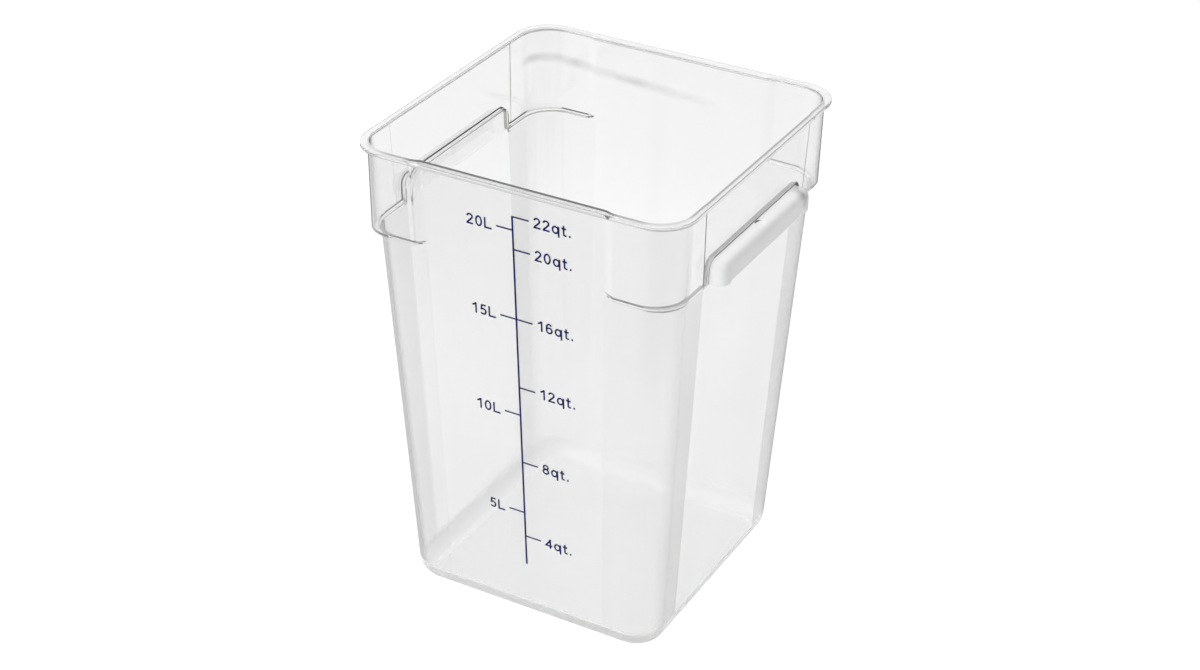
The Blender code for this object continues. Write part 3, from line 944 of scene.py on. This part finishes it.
class Side(Enum):
    """Which way a tick points from the scale's line."""

    LEFT = -1
    RIGHT = 1


@dataclass(frozen=True)
class Mark:
    """One tick of the volume scale with its label."""

    label: str
    level: float
    side: Side


def arc(centre: Span, radii: Span, start: float, end: float) -> Stroke:
    """Return a stroke along an ellipse, from one angle to another, in degrees from +x."""
    steps = max(2, round(abs(end - start) / ARC_STEP))
    angles = [math.radians(start + (end - start) * step / steps) for step in range(steps + 1)]
    return [(centre[0] + radii[0] * math.cos(a), centre[1] + radii[1] * math.sin(a)) for a in angles]


@dataclass(frozen=True)
class Glyph:
    """A character of a plain sans-serif face, drawn in units of its cap height."""

    width: float
    strokes: tuple[Stroke, ...]


GLYPHS: dict[str, Glyph] = {
    "0": Glyph(0.66, (arc((0.33, 0.50), (0.25, 0.425), 0, 360),)),
    "1": Glyph(0.62, ([(0.08, 0.72), (0.28, 0.83), (0.42, 0.96)], [(0.42, 1.0), (0.42, 0.0)])),
    "2": Glyph(0.66, (arc((0.325, 0.70), (0.235, 0.225), 175, -25)
                      + [(0.36, 0.40), (0.12, 0.17), (0.08, 0.075), (0.64, 0.075)],)),
    "4": Glyph(0.70, ([(0.70, 0.29), (0.09, 0.29), (0.50, 0.90)], [(0.50, 1.0), (0.50, 0.0)])),
    "5": Glyph(0.64, ([(0.58, 0.92), (0.19, 0.92), (0.13, 0.46)],
                      arc((0.31, 0.33), (0.25, 0.255), 140, -150))),
    "6": Glyph(0.66, (arc((0.33, 0.325), (0.25, 0.25), 0, 360), arc((0.335, 0.50), (0.255, 0.425), 40, 200))),
    "8": Glyph(0.65, (arc((0.325, 0.735), (0.215, 0.19), 0, 360), arc((0.325, 0.30), (0.25, 0.225), 0, 360))),
    "q": Glyph(0.70, (arc((0.325, 0.375), (0.25, 0.30), 0, 360), [(0.62, 0.74), (0.62, -0.26)])),
    "t": Glyph(0.49, ([(0.20, 0.95), (0.20, 0.17)] + arc((0.32, 0.17), (0.12, 0.11), 180, 270)
                      + [(0.46, 0.06)], [(0.0, 0.67), (0.44, 0.67)])),
    "L": Glyph(0.70, ([(0.08, 1.0), (0.08, 0.075), (0.70, 0.075)],)),
    ".": Glyph(0.18, ([(0.09, 0.0), (0.09, 0.18)],)),
}


@dataclass
class VolumeScale:
    """The printed volume scale on the front wall."""

    shell: BucketShell
    marks: tuple[Mark, ...] = (
        Mark("22qt.", 0.3739, Side.RIGHT), Mark("20L", 0.3625, Side.LEFT),
        Mark("20qt.", 0.3461, Side.RIGHT), Mark("16qt.", 0.2855, Side.RIGHT),
        Mark("15L", 0.2855, Side.LEFT), Mark("12qt.", 0.2239, Side.RIGHT),
        Mark("10L", 0.1983, Side.LEFT), Mark("8qt.", 0.1540, Side.RIGHT),
        Mark("5L", 0.1051, Side.LEFT), Mark("4qt.", 0.0820, Side.RIGHT))
    line_x: float = 0.0003
    line_lean: float = 0.0050
    line_foot: float = 0.0538
    line_width: float = 0.0016
    tick_length: float = 0.0141
    tick_width: float = 0.0013
    label_gap: float = 0.0039
    cap_height: float = 0.0092
    stroke_width: float = 0.00145
    letter_gap: float = 0.0016
    ink_depth: float = 0.00006
    ink_lift: float = 0.00002

    def wall_matrix(self) -> Matrix:
        """Return the matrix from (right, up, out) at the wall's foot to the frame."""
        slope = self.shell.body_draft
        up = Vector((0, -math.sin(slope), math.cos(slope)))
        out = Vector((0, -math.cos(slope), -math.sin(slope)))
        top = self.along(max(mark.level for mark in self.marks))
        place = Matrix((Vector((1, 0, 0)), up, out)).transposed().to_4x4()
        place.translation = Vector((0, -self.shell.body_half(0.0), 0)) + out * self.ink_lift
        lean = Matrix.Identity(4)
        lean[0][1], lean[0][3] = -self.line_lean, self.line_lean * top
        return place @ lean

    def along(self, z: float) -> float:
        """Return the distance up the sloping wall to a level."""
        return z / math.cos(self.shell.body_draft)

    def label_strokes(self, mark: Mark) -> list[Stroke]:
        """Return the strokes of a mark's label beside its tick, in the wall's plane."""
        glyphs = [GLYPHS[letter] for letter in mark.label]
        widths = [glyph.width * self.cap_height for glyph in glyphs]
        total = sum(widths) + self.letter_gap * (len(glyphs) - 1)
        near = self.tick_length + self.label_gap
        left = self.line_x + (near if mark.side is Side.RIGHT else -near - total)
        foot = self.along(mark.level) - self.cap_height / 2
        strokes = []
        for glyph, width in zip(glyphs, widths):
            strokes += [[(left + x * self.cap_height, foot + y * self.cap_height) for x, y in stroke]
                        for stroke in glyph.strokes]
            left += width + self.letter_gap
        return strokes

    def print_strokes(self, bm: BMesh, strokes: Iterable[Stroke], width: float) -> None:
        """Add strokes of one width, as thin ink, to a bmesh that lies in the wall's plane."""
        ribbons = bmesh.new()
        for stroke in strokes:
            verts = [ribbons.verts.new((x, y, 0)) for x, y in stroke]
            for pair in zip(verts, verts[1:]):
                ribbons.edges.new(pair)
        bmesh.ops.remove_doubles(ribbons, verts=ribbons.verts, dist=width * TINY_SHARE)
        made = bmesh.ops.extrude_edge_only(ribbons, edges=ribbons.edges)["geom"]
        raised = [item for item in made if isinstance(item, BMVert)]
        bmesh.ops.translate(ribbons, verts=raised, vec=(0, 0, self.ink_depth))
        bmesh.ops.recalc_face_normals(ribbons, faces=ribbons.faces)
        scratch = add_mesh("strokes", ribbons)
        thick = scratch.modifiers.new("stroke width", "SOLIDIFY")
        thick.thickness = width
        thick.offset = 0.0
        thick.use_even_offset = True
        bm.from_mesh(modified_mesh(scratch))
        bpy.data.objects.remove(scratch, do_unlink=True)

    def build(self, finish: Material) -> None:
        """Build the whole scale of one material as one thin layer of ink."""
        bm = bmesh.new()
        top = self.along(max(mark.level for mark in self.marks)) + self.tick_width / 2
        foot = self.along(self.line_foot)
        self.print_strokes(bm, [[(self.line_x, foot), (self.line_x, top)]], self.line_width)
        ticks = [[(self.line_x + reach, self.along(mark.level))
                  for reach in (0.0, mark.side.value * self.tick_length)] for mark in self.marks]
        self.print_strokes(bm, ticks, self.tick_width)
        letters = [stroke for mark in self.marks for stroke in self.label_strokes(mark)]
        self.print_strokes(bm, letters, self.stroke_width)
        bmesh.ops.transform(bm, matrix=self.wall_matrix(), verts=bm.verts)
        bmesh.ops.recalc_face_normals(bm, faces=bm.faces)
        add_piece("volume_scale", bm, finish)


@dataclass(frozen=True)
class Lamp:
    """A square soft light that faces the bucket, with its power in watts."""

    name: str
    place: Place
    size: float
    power: float
    target: Place = (0.0, 0.0, 0.2)

    def build(self) -> None:
        """Hang the lamp in its place."""
        data = bpy.data.lights.new(self.name, "AREA")
        data.shape = "SQUARE"
        data.size = self.size
        data.energy = self.power
        lamp = add_object(self.name, data)
        lamp.location = self.place
        lamp.rotation_mode = "QUATERNION"
        lamp.rotation_quaternion = (Vector(self.target) - Vector(self.place)).to_track_quat("-Z", "Y")


@dataclass(frozen=True)
class Studio:
    """Floor, lights and camera."""

    lamps: tuple[Lamp, ...] = (Lamp("key", (-1.9, -1.3, 1.5), 1.3, 20), Lamp("top", (-0.4, 1.4, 2.2), 1.0, 6))
    camera_place: Place = (0.7922, -1.4417, 1.1718)
    azimuth: float = math.radians(28.717)
    elevation: float = math.radians(30.382)
    roll: float = math.radians(0.896)
    lens: float = 71.15
    floor_half: float = 4.0
    floor_gap: float = 0.0003
    sky_low: float = 0.55
    sky_high: float = 1.15
    sky_rise: float = 0.7
    sky_side: float = 0.4
    backdrop: float = 1.06

    def camera(self) -> None:
        """Make the camera at the photograph's viewing angle."""
        data = bpy.data.cameras.new("camera")
        data.lens = self.lens
        camera = add_object("camera", data)
        level = math.cos(self.elevation)
        back = Vector((math.sin(self.azimuth) * level, -math.cos(self.azimuth) * level,
                       math.sin(self.elevation)))
        flat = Vector((math.cos(self.azimuth), math.sin(self.azimuth), 0))
        upright = back.cross(flat)
        right = flat * math.cos(self.roll) + upright * math.sin(self.roll)
        turn = Matrix((right, back.cross(right), back)).transposed().to_4x4()
        turn.translation = self.camera_place
        camera.matrix_world = turn
        bpy.context.scene.camera = camera

    def world(self) -> None:
        """Light everything softly from a sky that is darker low down, behind a plain backdrop."""
        graph = Graph(bpy.data.worlds.new("studio"), "ShaderNodeOutputWorld")
        _, across, _, up = graph.coordinates("Generated")
        rise = up.rise(0.0, self.sky_rise) * (self.sky_high - self.sky_low) + self.sky_low
        sky = graph.background(rise * (1 - (across + 1) * ((1 - self.sky_side) / 2)))
        plain = graph.background(self.backdrop)
        bpy.context.scene.world = graph.finish(graph.mix(graph.light_path("Is Camera Ray"), sky, plain))

    def floor(self) -> None:
        """Lay the plain white floor."""
        bm = bmesh.new()
        bmesh.ops.create_grid(bm, x_segments=1, y_segments=1, size=self.floor_half,
                              matrix=Matrix.Translation((0, 0, -self.floor_gap)))
        floor = add_mesh("studio_floor", bm)
        floor.data.materials.append(StudioFloor().material())

    def build(self) -> None:
        """Set up the whole studio."""
        self.camera()
        self.world()
        for lamp in self.lamps:
            lamp.build()
        self.floor()
        bpy.context.scene.view_settings.view_transform = "Standard"


def main() -> None:
    """Build every piece and the studio round them."""
    logging.basicConfig(level=logging.INFO, format="%(name)s: %(message)s")
    body_low, body_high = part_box("bucket_body")
    shell = BucketShell(height=body_high.z - body_low.z, rim_width=body_high.y - body_low.y)
    shell.build(ClearPlastic(shell).material())
    grip = Grip(*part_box("grip_right"), shell.body_draft)
    white = GripPlastic(grip).material()
    grip.build("white_grip_right", "grip_right", 0.0, white)
    grip.build("white_grip_left", "grip_left", math.pi, white)
    VolumeScale(shell).build(ScaleInk().material())
    Studio().build()


if __name__ == "__main__":
    main()
